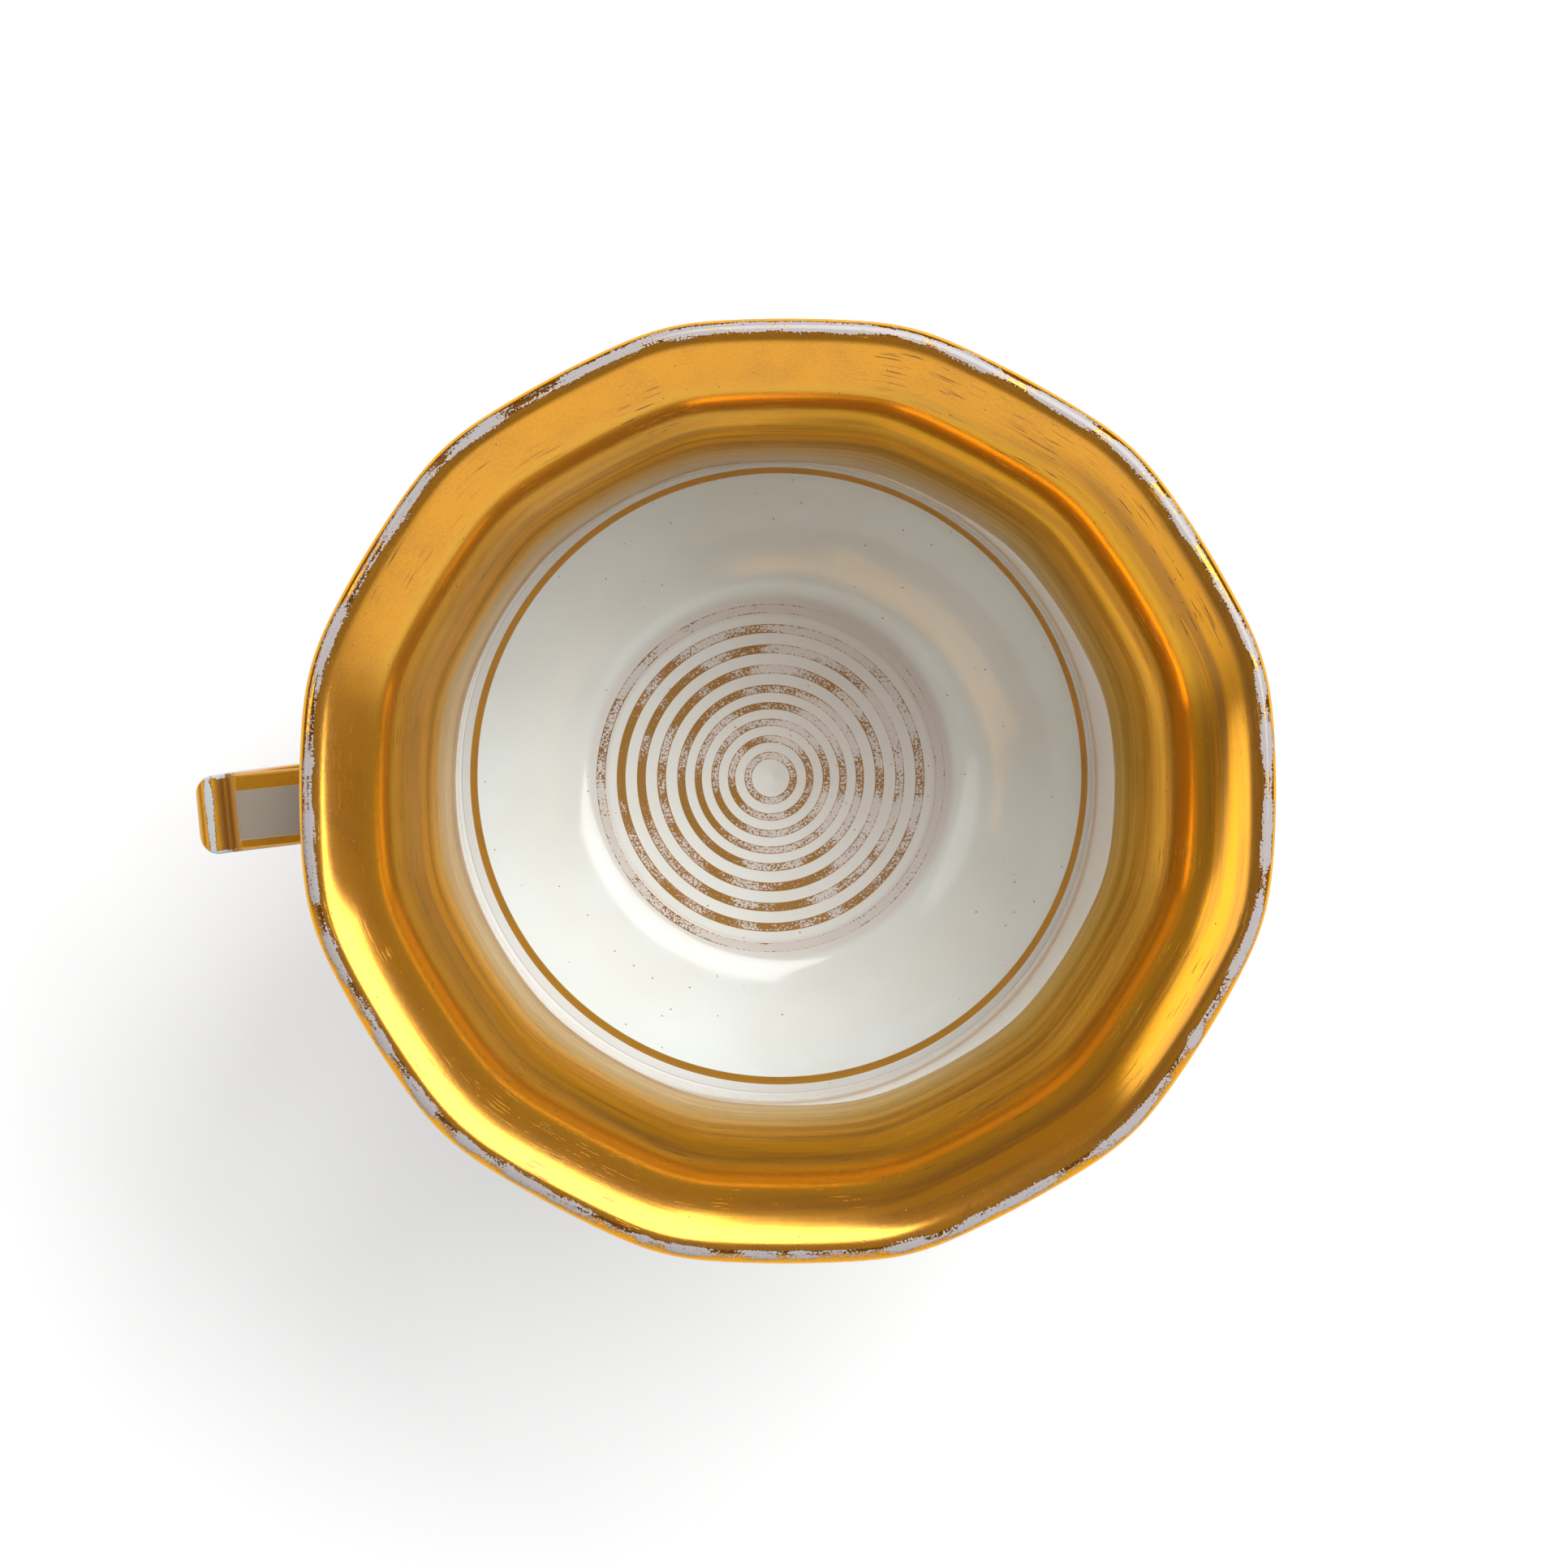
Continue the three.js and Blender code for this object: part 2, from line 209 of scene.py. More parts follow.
class StageSetting(PropertyGroup):
    """Where the camera stands over the cup."""

    camera_height: length("Camera Height", "Height of the camera above the lip", 750)
    camera_left: length("Camera Left", "How far the camera stands to the handle's side of the axis", 21.5)
    camera_back: length("Camera Back", "How far the camera stands behind the axis", 19.5)
    frame_width: length("Frame Width", "Width of the picture at the lip", 157.07)
    aim_left: length("Aim Left", "How far left of the axis the picture's middle falls at the lip", 0.49)
    aim_back: length("Aim Back", "How far behind the axis the picture's middle falls at the lip", 0.79)


# Curves and outlines


def curve(controls, steps):
    """Points along a Bezier curve of any order, after its first point."""
    points = []
    for step in range(1, steps + 1):
        layer = list(controls)
        while len(layer) > 1:
            layer = [first.lerp(second, step / steps) for first, second in zip(layer, layer[1:])]
        points.append(layer[0])
    return points


def line(start, end, steps):
    """Points along a straight line, after its first point."""
    return curve([start, end], steps)


def at(across, up):
    """A point of an outline."""
    return Vector((across, up))


def lengths_along(points):
    """The distance along a chain of points to each of them."""
    distances = [0.0]
    for first, second in zip(points, points[1:]):
        distances.append(distances[-1] + (second - first).length)
    return distances


def crossing(path, height):
    """The stretch of a path that first passes a height, as its index, and the share of it below."""
    for index, (first, second) in enumerate(zip(path, path[1:])):
        if min(first.y, second.y) <= height <= max(first.y, second.y) and first.y != second.y:
            return index, (height - first.y) / (second.y - first.y)
    raise ValueError(f"the path never passes the height {height}")


def radius_at(path, height):
    """The radius of a path where it passes a height."""
    index, share = crossing(path, height)
    return path[index].lerp(path[index + 1], share).x


def along_at_height(path, height):
    """The distance along a path to where it passes a height, in millimetres."""
    index, share = crossing(path, height)
    distances = lengths_along(path)
    return (distances[index] + share * (distances[index + 1] - distances[index])) / MM


def joined(stretches):
    """Points along curves that follow on from each other, each given as its controls and steps."""
    points = [stretches[0][0][0]]
    for controls, steps in stretches:
        points += curve(controls, steps)
    return points


class BowlShape:
    """The bowl's two paths from floor to lip and from lip to base, as radius and height."""

    def __init__(self, sizes):
        top = BOWL_HIGH.z
        base = BOWL_LOW.z
        floor = base + sizes.floor_thickness
        lean = at(math.sin(sizes.neck_flare), math.cos(sizes.neck_flare))
        facing = at(lean.y, -lean.x)
        neck = at(sizes.neck_radius, top - sizes.brim_drop)
        outer_neck = neck + sizes.wall_thickness * facing
        crest = at(sizes.mouth_radius - sizes.crest_inset, top)
        brim_top = at(crest.x - sizes.brim_round, top)
        edge = at(sizes.mouth_radius, top - sizes.lip_droop)
        under_lip = at(edge.x - sizes.lip_droop, edge.y - sizes.lip_thickness)
        turn = at(sizes.turn_radius, floor + sizes.turn_rise)
        outer_turn = at(turn.x + sizes.wall_thickness, turn.y)
        well = at(sizes.well_radius, floor)
        seat = at(sizes.seat_radius, base)
        corner = sizes.corner_round

        brim_start = neck + corner * (brim_top - neck).normalized()
        climb = at(math.cos(sizes.bottom_slope), math.sin(sizes.bottom_slope))
        bend = well + at(sizes.well_bend / 2, 0)
        bend_end = bend + sizes.well_bend / 2 * climb
        self.inside = joined((
            ([at(0, floor), well], 4),
            ([well, bend, bend_end], 10),
            ([bend_end, bend_end + sizes.bottom_pull * climb, turn - at(0, sizes.haunch_pull), turn], 26),
            ([turn, turn + at(0, sizes.wall_pull), neck - sizes.neck_pull * lean, neck - corner * lean], 40),
            ([neck - corner * lean, neck, brim_start], 8),
            ([brim_start, brim_top, crest], 16),
        ))

        lip_start = outer_neck + corner * (under_lip - outer_neck).normalized()
        wall_top = outer_neck - corner * lean
        flare = outer_neck - sizes.neck_pull * lean
        self.outside = joined((
            ([crest, at(edge.x - 0.3 * sizes.crest_inset, top), edge], EDGE_STEPS),
            ([edge, at(edge.x, edge.y - 0.75 * sizes.lip_thickness), under_lip], EDGE_STEPS),
            ([under_lip, lip_start], 3),
            ([lip_start, outer_neck, wall_top], 8),
            ([wall_top, flare, outer_turn + at(0, sizes.wall_pull), outer_turn], 36),
            ([outer_turn, outer_turn - at(0, sizes.turn_pull), seat + at(sizes.seat_pull, 0), seat], 24),
            ([seat, at(0, base)], 3),
        ))
        self.edge_along = lengths_along(self.inside)[-1] + lengths_along(self.outside)[EDGE_STEPS]


class StrapPlace:
    """The upright plane that the handle lies in."""

    def __init__(self, sizes, shape):
        self.height = sizes.top - sizes.strap_thickness / 2
        below_lip = shape.outside[2 * EDGE_STEPS:]
        self.upper_root = radius_at(below_lip, self.height)
        self.lower_root = radius_at(below_lip, sizes.heel_height)
        self.outward = Vector((-math.cos(sizes.yaw), -math.sin(sizes.yaw), 0))
        self.across = Vector((math.sin(sizes.yaw), -math.cos(sizes.yaw), 0))
        self.joint = AXIS + Vector((-self.upper_root, -sizes.shift, 0))

    def point(self, out, side, up):
        """A place from its distance out from the cup's axis, to the side and up."""
        return self.joint + (out - self.upper_root) * self.outward + side * self.across + Vector((0, 0, up))


# Modelling by hand


def draw_chain(name, points):
    """A new object, left in edit mode, that is one corner extruded from point to point."""
    if bpy.context.mode != "OBJECT":
        bpy.ops.object.mode_set(mode="OBJECT")
    bpy.ops.object.select_all(action="DESELECT")
    bpy.ops.mesh.primitive_plane_add(size=MM, enter_editmode=True)
    piece = bpy.context.object
    piece.name = name
    piece.data.name = name
    bpy.ops.mesh.merge(type="CENTER")
    bpy.ops.transform.translate(value=points[0])
    for last, point in zip(points, points[1:]):
        bpy.ops.mesh.extrude_vertices_move(TRANSFORM_OT_translate={"value": point - last})
    return piece


def weld():
    """Merges the doubles of the mesh in edit mode and turns its faces outwards."""
    bpy.ops.mesh.select_all(action="SELECT")
    bpy.ops.mesh.remove_doubles(threshold=WELD)
    bpy.ops.mesh.normals_make_consistent(inside=False)


def turned(name, path):
    """A surface spun about the cup's axis from a path of radius and height."""
    piece = draw_chain(name, [AXIS + Vector((point.x, 0, point.y)) for point in path])
    bpy.ops.mesh.select_all(action="SELECT")
    bpy.ops.mesh.spin(steps=COLUMNS, angle=math.tau, center=AXIS, axis=(0, 0, 1))
    weld()
    bpy.ops.object.mode_set(mode="OBJECT")
    return piece


def select_where(piece, kind, wanted):
    """Selects the corners or edges of the mesh in edit mode that a test accepts."""
    bpy.ops.mesh.select_all(action="DESELECT")
    bpy.ops.object.mode_set(mode="OBJECT")
    mesh = piece.data
    for item in {"VERT": mesh.vertices, "EDGE": mesh.edges}[kind]:
        item.select = wanted(mesh, item)
    bpy.ops.object.mode_set(mode="EDIT")


def apply_modifier(piece, kind, **settings):
    """Adds a modifier to a piece, sets it and applies it."""
    bpy.context.view_layer.objects.active = piece
    bpy.ops.object.modifier_add(type=kind)
    modifier = piece.modifiers[-1]
    for name, value in settings.items():
        setattr(modifier, name, value)
    bpy.ops.object.modifier_apply(modifier=modifier.name)


def finish_piece(piece, node):
    """Shades a piece and lets it stand for a node of the frame."""
    bpy.ops.object.select_all(action="DESELECT")
    piece.select_set(True)
    bpy.context.view_layer.objects.active = piece
    bpy.ops.object.shade_smooth()
    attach(piece, "root")
    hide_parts(node)


# Wiring materials


class Term:
    """An output of a node that sums can be written with."""

    def __init__(self, wiring, socket):
        self.wiring = wiring
        self.socket = socket

    def __add__(self, other):
        return self.wiring.math("ADD", self, other)

    def __sub__(self, other):
        return self.wiring.math("SUBTRACT", self, other)

    def __rsub__(self, other):
        return self.wiring.math("SUBTRACT", other, self)

    def __mul__(self, other):
        return self.wiring.math("MULTIPLY", self, other)

    def __truediv__(self, other):
        return self.wiring.math("DIVIDE", self, other)

    def __abs__(self):
        return self.wiring.math("ABSOLUTE", self)

    __radd__ = __add__
    __rmul__ = __mul__

    def most(self, *others):
        """The greatest of several numbers."""
        return reduce(lambda first, second: self.wiring.math("MAXIMUM", first, second), others, self)

    def fade(self, start, end):
        """Rises smoothly from 0 to 1 as the number goes from start to end."""
        sockets = {"Value": self, "From Min": start, "From Max": end}
        return self.wiring.take("ShaderNodeMapRange", "Result", sockets, interpolation_type="SMOOTHSTEP")

    def band(self, middle, half, soft):
        """Is 1 within half a width of the middle of a band and fades at its edges."""
        return abs(self - middle).fade(half + soft, half - soft)


class Wiring:
    """Adds nodes to a tree and joins them up."""

    # The mix node's inputs for its share and both values, and its result, by kind.
    mix_sockets = {"FLOAT": ((0, 2, 3), 0), "RGBA": ((0, 6, 7), 2)}

    def __init__(self, tree):
        self.tree = tree

    def add(self, kind, inputs=None, **settings):
        """A new node, with its settings and what its sockets take, by name or number."""
        made = self.tree.nodes.new(kind)
        for name, value in settings.items():
            setattr(made, name, value)
        for name, value in (inputs or {}).items():
            if isinstance(value, Term):
                self.tree.links.new(value.socket, made.inputs[name])
            else:
                made.inputs[name].default_value = value
        return made

    def take(self, kind, output, inputs=None, **settings):
        """One output of a new node."""
        return Term(self, self.add(kind, inputs, **settings).outputs[output])

    def math(self, operation, *values):
        """The result of a sum on numbers."""
        return self.take("ShaderNodeMath", 0, dict(enumerate(values)), operation=operation)

    def vector(self, operation, *values):
        """The result of a sum on vectors."""
        result = "Value" if operation in {"LENGTH", "DOT_PRODUCT"} else "Vector"
        return self.take("ShaderNodeVectorMath", result, dict(enumerate(values)), operation=operation)

    def split(self, vector):
        """The three numbers of a vector."""
        made = self.add("ShaderNodeSeparateXYZ", {"Vector": vector})
        return [Term(self, output) for output in made.outputs]

    def mix(self, kind, *values):
        """What lies between two values of a kind, by a share."""
        sockets, result = self.mix_sockets[kind]
        return self.take("ShaderNodeMix", result, dict(zip(sockets, values)), data_type=kind)

    def blend(self, share, first, second):
        """A colour between two others."""
        return self.mix("RGBA", share, first, second)

    def between(self, share, first, second):
        """A number between two others."""
        return self.mix("FLOAT", share, first, second)

    def noise(self, place, scale, detail=2.0, roughness=0.5):
        """Cloudy noise between 0 and 1."""
        sockets = {"Vector": place, "Scale": scale, "Detail": detail, "Roughness": roughness}
        return self.take("ShaderNodeTexNoise", "Fac", sockets)

    def cells(self, place, scale):
        """The distance to the nearest of many scattered points and that point's own chance."""
        made = self.add("ShaderNodeTexVoronoi", {"Vector": place, "Scale": scale}).outputs
        chance = self.take("ShaderNodeSeparateColor", "Red", {"Color": Term(self, made["Color"])})
        return Term(self, made["Distance"]), chance

    def streaks(self, around, along, turns, fineness, detail=2.0, roughness=0.5):
        """Noise drawn out round the cup: turns sets its length and fineness its width."""
        ring = self.take("ShaderNodeVectorMath", "Vector", {0: around, "Scale": turns}, operation="SCALE")
        lift = self.take("ShaderNodeCombineXYZ", 0, {"Z": along * fineness})
        return self.noise(self.vector("ADD", ring, lift), 1.0, detail, roughness)

    def group(self, tree, **inputs):
        """The outputs of a shared node group, by name, with what its sockets take."""
        sockets = {name.replace("_", " ").title(): value for name, value in inputs.items()}
        made = self.add("ShaderNodeGroup", sockets, node_tree=tree)
        return {output.name: Term(self, output) for output in made.outputs}


def new_group(name, inputs, outputs):
    """The wiring of a new node group with named sockets, and what its inputs give."""
    tree = bpy.data.node_groups.new(name, "ShaderNodeTree")
    for direction, sockets in (("INPUT", inputs), ("OUTPUT", outputs)):
        for socket, kind in sockets.items():
            tree.interface.new_socket(socket, in_out=direction, socket_type=f"NodeSocket{kind}")
    wiring = Wiring(tree)
    given = wiring.add("NodeGroupInput").outputs
    return wiring, {socket: Term(wiring, given[socket]) for socket in inputs}


def empty_tree(owner):
    """The wiring of a material or world, with its first nodes cleared away."""
    owner.use_nodes = True
    owner.node_tree.nodes.clear()
    return Wiring(owner.node_tree)


def solid(colour):
    """A colour with full cover, as sockets want it."""
    return *colour, 1.0


def cup_place_group():
    """Where a point lies on the cup, in millimetres from the middle of its foot."""
    wiring, _ = new_group(
        "Cup Place",
        {},
        {"Place": "Vector", "Around": "Vector", "Radius": "Float", "Height": "Float", "Along": "Float"},
    )
    scale = 1 / MM
    coordinates = wiring.take("ShaderNodeTexCoord", "Object")
    sockets = {"Vector": coordinates, "Location": -scale * AXIS, "Scale": (scale, scale, scale)}
    place = wiring.take("ShaderNodeMapping", 0, sockets)
    level = wiring.vector("MULTIPLY", place, (1, 1, 0))
    result = {
        "Place": place,
        "Around": wiring.vector("NORMALIZE", level),
        "Radius": wiring.vector("LENGTH", level),
        "Height": wiring.split(place)[2],
        "Along": wiring.take("ShaderNodeAttribute", "Fac", attribute_name="along"),
    }
    wiring.add("NodeGroupOutput", result)
    return wiring.tree


def porcelain_glaze_group(colours):
    """Glossy white glaze with a cloudy tone and a few iron specks."""
    wiring, given = new_group(
        "Porcelain Glaze", {"Place": "Vector"}, {"Color": "Color", "Roughness": "Float", "Height": "Float"}
    )
    place = given["Place"]
    cloud = wiring.noise(place, 0.07, 3.0).fade(0.35, 0.7)
    tone = wiring.blend(cloud, solid(colours.glaze), solid(colours.glaze_shade))
    distance, chance = wiring.cells(place, 1.0)
    specks = distance.fade(0.13, 0.07) * chance.fade(0.86, 0.87)
    ripple = wiring.noise(place, 0.5)
    result = {
        "Color": wiring.blend(0.85 * specks, tone, solid(colours.speck)),
        "Roughness": 0.07 + 0.05 * ripple + 0.2 * specks,
        "Height": 0.12 * ripple - 0.3 * specks,
    }
    wiring.add("NodeGroupOutput", result)
    return wiring.tree


def worn_gilding_group(colours):
    """Gilding where it was laid, less what has worn, with scratches, pits and a burnished tone."""
    numbers = ("Along", "Laid", "Wear", "Scratched", "Turns", "Speckled", "Brushed", "Pale", "Accent")
    wiring, given = new_group(
        "Worn Gilding",
        {"Place": "Vector", "Around": "Vector", "Accent Color": "Color", **dict.fromkeys(numbers, "Float")},
        {"Color": "Color", "Gold": "Float", "Residue": "Float", "Roughness": "Float", "Height": "Float"},
    )
    place, around, along = given["Place"], given["Around"], given["Along"]
    patches = wiring.noise(place, 0.22, 3.0)
    flecks = wiring.noise(place, 4.0, 4.0, 0.65)
    grain = wiring.noise(place, 8.0)
    strokes = wiring.streaks(around, along, given["Turns"], 3.5, 4.0)
    brushed = wiring.streaks(around, along, 0.8, 0.5, 5.0, 0.62)
    field = (
        0.14 * patches.fade(0.36, 0.64)
        + strokes * wiring.between(given["Speckled"], 0.38, 0.13)
        + flecks * wiring.between(given["Speckled"], 0.48, 0.73)
    )
    spare = field - given["Wear"]
    left = spare.fade(-0.02, 0.02)
    rubbed = spare.fade(0.1, 0.0)

    distance, chance = wiring.cells(place, 0.9)
    pits = distance.fade(0.09, 0.05) * chance.fade(0.6, 0.65)
    lines = wiring.streaks(around, along, 9.0, 6.0, 3.0)
    clusters = wiring.noise(place, 0.1).fade(0.48, 0.62)
    cuts = lines.fade(0.63, 0.67) * clusters
    marks = pits.most(cuts) * given["Scratched"]

    even = patches + 1.3 * flecks - 0.25
    tone = wiring.between(given["Brushed"], even, brushed.fade(0.4, 0.6))
    bright = wiring.blend(given["Pale"], solid(colours.gold), solid(colours.gold_pale))
    colour = wiring.blend(tone, solid(colours.gold_deep), bright)
    colour = wiring.blend(given["Accent"], colour, given["Accent Color"])
    colour = wiring.blend(rubbed, colour, solid(colours.gold_thin))
    result = {
        "Color": wiring.blend(0.85 * marks, colour, solid(colours.scratch)),
        "Gold": given["Laid"] * left,
        "Residue": given["Laid"] * (1.0 - left),
        "Roughness": 0.08 + 0.08 * grain + 0.06 * brushed + 0.25 * marks,
        "Height": 0.5 * patches + 0.8 * brushed + 0.12 * grain - 0.6 * marks,
    }
    wiring.add("NodeGroupOutput", result)
    return wiring.tree


class Finishes:
    """The shared node groups and the materials made with them."""

    def __init__(self, colours):
        self.colours = colours
        self.place = cup_place_group()
        self.glaze = porcelain_glaze_group(colours)
        self.gilding = worn_gilding_group(colours)

    def begin(self, name):
        """A new material, its wiring and where its points lie on the cup."""
        material = bpy.data.materials.new(name)
        wiring = empty_tree(material)
        return material, wiring, wiring.group(self.place)

    def complete(
        self,
        wiring,
        place,
        tint=0.0,
        stain=None,
        residue=0.7,
        burnish=1.0,
        coat=0.0,
        edge_tint=(1, 1, 1),
        dull=0.0,
        lift=0.0,
        turns=14.0,
        **looks,
    ):
        """Glaze under gilding, lightened by painted light where lift asks, and tinted where the gilding has
        gone and where tint asks, towards what each material gives: real stains, painted shade, a painted
        reflection; looks are the gilding's own.
        """
        glaze = wiring.group(self.glaze, place=place["Place"])
        where = {name: place[name.title()] for name in ("place", "around", "along")}
        gilding = wiring.group(self.gilding, **where, turns=turns, **looks)
        gold = gilding["Gold"]
        # The tint colour is a real stain on the lip, painted shade on the handle's panels and the floor, and
        # a painted reflection beside the gilt line.
        tint_share = (gilding["Residue"] * residue).most(tint)
        # Painted light: lift blends the glaze to the pale colour that stands for light let through the thin
        # wall.
        white = wiring.blend(lift, glaze["Color"], solid(self.colours.lit_through_glaze))
        under = wiring.blend(tint_share, white, solid(stain or self.colours.residue))
        height = wiring.between(gold, glaze["Height"], gilding["Height"])
        bump = {"Strength": 0.35, "Distance": 0.05 * MM, "Height": height}
        surface = {
            "Base Color": wiring.blend(gold, under, gilding["Color"]),
            "Metallic": gold * burnish,
            "Roughness": wiring.between(gold, glaze["Roughness"], gilding["Roughness"]).most(dull),
            "Coat Weight": gold * coat,
            "Coat Roughness": 0.2,
            "IOR": 1.5,
            "Specular Tint": solid(edge_tint),
            "Normal": wiring.take("ShaderNodeBump", 0, bump),
        }
        shader = wiring.take("ShaderNodeBsdfPrincipled", 0, surface)
        wiring.add("ShaderNodeOutputMaterial", {"Surface": shader})


def at_lip(place, shape):
    """How far a point lies past the lip's outer edge, in millimetres, and whether on its worn crest."""
    from_edge = place["Along"] - shape.edge_along / MM
    return from_edge, from_edge.band(-1.2, 0.75, 0.55)


def gilded_wall(finishes, shape):
    """The gilded wall and brim, worn to the porcelain in patches along the crest of the lip."""
    material, wiring, place = finishes.begin("Gilded Wall")
    along = place["Along"]
    east, north, _ = wiring.split(place["Around"])

    # The gilding ends at a hand-painted edge that rises towards the right.
    edge_at = along_at_height(shape.inside, GILDING_HEIGHT)
    wander = 1.2 * (wiring.noise(place["Place"], 0.12) - 0.5)
    above = along - (edge_at + 1.5 + 7.5 * east - 1.5 * north + wander)

    _, crest = at_lip(place, shape)
    from_neck = along - along_at_height(shape.inside, BOWL_HIGH.z - NECK_DEPTH)
    finishes.complete(
        wiring,
        place,
        laid=above.fade(-0.3, 0.3),
        wear=LIGHT_WEAR + 0.33 * crest,
        scratched=along.fade(edge_at, edge_at + 4),
        tint=0.85 * crest,
        stain=finishes.colours.lip_stain,
        # Painted light: where the gold is gone, the white takes the pale colour that stands for light let
        # through the thin wall.
        lift=1.0,
        burnish=wiring.between(above.fade(4.0, 20.0), 0.97, 0.82),
        brushed=above.fade(36.0, 30.0),
        pale=above.fade(26.0, 8.0),
        # Painted reflection: the corner under the brim takes a yellower gold, for the tone of the band
        # mirrored there.
        accent=from_neck.band(-0.6, 2.2, 1.4),
        accent_color=solid(finishes.colours.neck_reflection_gold),
        coat=wiring.between(above.fade(28.0, 35.0), 0.03, 0.75),
        edge_tint=finishes.colours.gold_edge,
    )
    return material


def ringed_floor(finishes, shape):
    """The white bottom of the bowl: a gilt line round its turn and worn gilt rings on its floor."""
    material, wiring, place = finishes.begin("Ringed Floor")
    east, north, _ = wiring.split(place["Around"])

    # The gilt line, with a painted reflection of it beside it: a faint band with a thin dark edge.
    line_at = along_at_height(shape.inside, LINE_HEIGHT)
    from_line = place["Along"] - (line_at - 0.2 + 0.85 * east + 0.6 * north)
    gilt_line = from_line.band(0.0, 0.62, 0.08)
    line_reflection = 0.35 * from_line.band(1.5, 0.8, 0.12)
    reflection_edge = 0.95 * from_line.band(2.3, 0.14, 0.08)

    # The rings on the floor: five close together and four wider apart.
    centre = wiring.vector("SUBTRACT", place["Place"], (-0.2, -0.1, 0))
    from_centre = wiring.vector("LENGTH", wiring.vector("MULTIPLY", centre, (1, 1, 0)))
    close = wiring.math("MINIMUM", from_centre, WIDE_FROM) - RINGS_FROM
    wide = (from_centre - WIDE_FROM).most(0.0)
    count = close / RING_STEP + wide / WIDE_STEP
    past_last = count - RING_COUNT
    from_ring = abs(count - wiring.math("ROUND", count))
    on_floor = count.fade(0.45, 0.55) * past_last.fade(0.5, 0.4)
    rings = from_ring.fade(0.235, 0.205) * on_floor
    ring_rim = from_ring.fade(0.15, 0.2) * rings

    # Spoons and washing have worn the rings, and more towards the right.
    lean = 0.8 * east + 0.45 * north
    outward = lean * (0.03 + 0.003 * from_centre)
    floor_wear = 0.5 + outward - 0.1 * ring_rim + 0.13 * past_last.fade(-0.6, -0.4)
    # A stain of use with painted shade: the floor's white is tinted darker towards the right and back, which
    # the wall keeps from the soft box, and more near the last ring, in the bend round the floor.
    use_and_shade = 0.3 + 0.2 * lean + 0.2 * past_last.fade(-0.5, -0.3)
    dulled = use_and_shade * past_last.fade(0.9, 0.4)

    # Hairline scratches cross the middle.
    scuffs = 0.0
    stretch = (0.35, 5.0, 1.0)
    for turn in (20, 75, 140):
        sockets = {"Vector": place["Place"], "Rotation": (0, 0, math.radians(turn)), "Scale": stretch}
        across = wiring.take("ShaderNodeMapping", 0, sockets)
        scuffs = wiring.noise(across, 1.0).fade(0.66, 0.72).most(scuffs)
    scuffs = 0.7 * scuffs * from_centre.fade(9.0, 3.0)

    finishes.complete(
        wiring,
        place,
        laid=gilt_line.most(rings),
        wear=wiring.between(rings, LIGHT_WEAR, floor_wear),
        tint=line_reflection.most(reflection_edge, scuffs, dulled),
        turns=9.0,
        speckled=1.0,
        burnish=0.6,
        dull=0.45 * from_centre.fade(18.5, 17.0),
        accent=wiring.between(rings, 0.45, 0.9),
        accent_color=solid(finishes.colours.gold_aged),
        # Painted light: the white strip above the gilt line is lightened for light let through the thin
        # wall.
        lift=from_line.fade(1.5, 4.0),
    )
    return material


def bowl_outside(finishes, shape):
    """The outside of the bowl: white glaze with a gilt lip and a gilt line under it."""
    material, wiring, place = finishes.begin("Bowl Outside")
    from_edge, crest = at_lip(place, shape)
    lip = from_edge.fade(4.2, 4.0)
    under_line = from_edge.band(8.0, 0.35, 0.06)
    foot_line = place["Height"].band(10.0, 0.4, 0.06)
    finishes.complete(
        wiring,
        place,
        laid=lip.most(under_line, foot_line),
        wear=LIGHT_WEAR + 0.36 * crest,
        stain=finishes.colours.lip_stain,
        lift=OUTSIDE_LIFT,
    )
    return material


def foot_finish(finishes):
    """The foot: white glaze, a gilt toe and a dry ring that stands on the table."""
    material, wiring, place = finishes.begin("Foot")
    height = place["Height"]
    toe = height.fade(2.0, 1.8) * height.fade(0.3, 0.5) * place["Radius"].fade(21.5, 22.0)
    dry = 0.5 * height.fade(0.35, 0.15)
    finishes.complete(wiring, place, laid=toe, wear=0.33, tint=dry, lift=OUTSIDE_LIFT)
    return material


def slip_finish(finishes):
    """White slip under the same glaze as the bowl."""
    material, wiring, place = finishes.begin("Glazed Slip")
    finishes.complete(wiring, place, laid=0.0, wear=0.0, lift=OUTSIDE_LIFT)
    return material


def handle_finish(finishes, sizes, strap):
    """The handle: gilt edges and thumb roll round white panels painted warm grey for the shade they lie in.
    """
    material, wiring, place = finishes.begin("Gilded Handle")
    joint = wiring.vector("SUBTRACT", place["Place"], (strap.joint - AXIS) / MM)
    across = wiring.vector("DOT_PRODUCT", joint, strap.across)
    out = wiring.vector("DOT_PRODUCT", joint, strap.outward) + strap.upper_root / MM
    edges = abs(across - 0.35).fade(2.45, 2.6)
    roll_out = out - (sizes.reach - sizes.roll_radius) / MM
    roll_up = place["Height"] - (sizes.top + sizes.roll_proud - sizes.roll_radius) / MM
    from_roll = wiring.math("SQRT", roll_out * roll_out + roll_up * roll_up)
    roll = from_roll.fade(2.75, 2.6)
    crest = roll_out.band(0.3, 0.4, 0.3) * roll_up.fade(1.1, 1.3)
    ends = abs(across).fade(3.2, 3.9) * from_roll.fade(2.0, 1.5)
    laid = edges.most(roll)
    finishes.complete(
        wiring,
        place,
        laid=laid,
        wear=0.25 + 0.38 * crest.most(ends),
        scratched=0.4,
        # Painted shade: the white panels between the gilt are tinted warm grey, as they lie in the lip's
        # shade.
        tint=0.85 * (1.0 - laid),
        stain=finishes.colours.panel,
        residue=0.15,
        burnish=0.6,
        accent=roll_out.fade(-0.3, -0.9) * roll,
        accent_color=solid(finishes.colours.gold_deep),
        dull=0.28,
    )
    return material


# Pieces


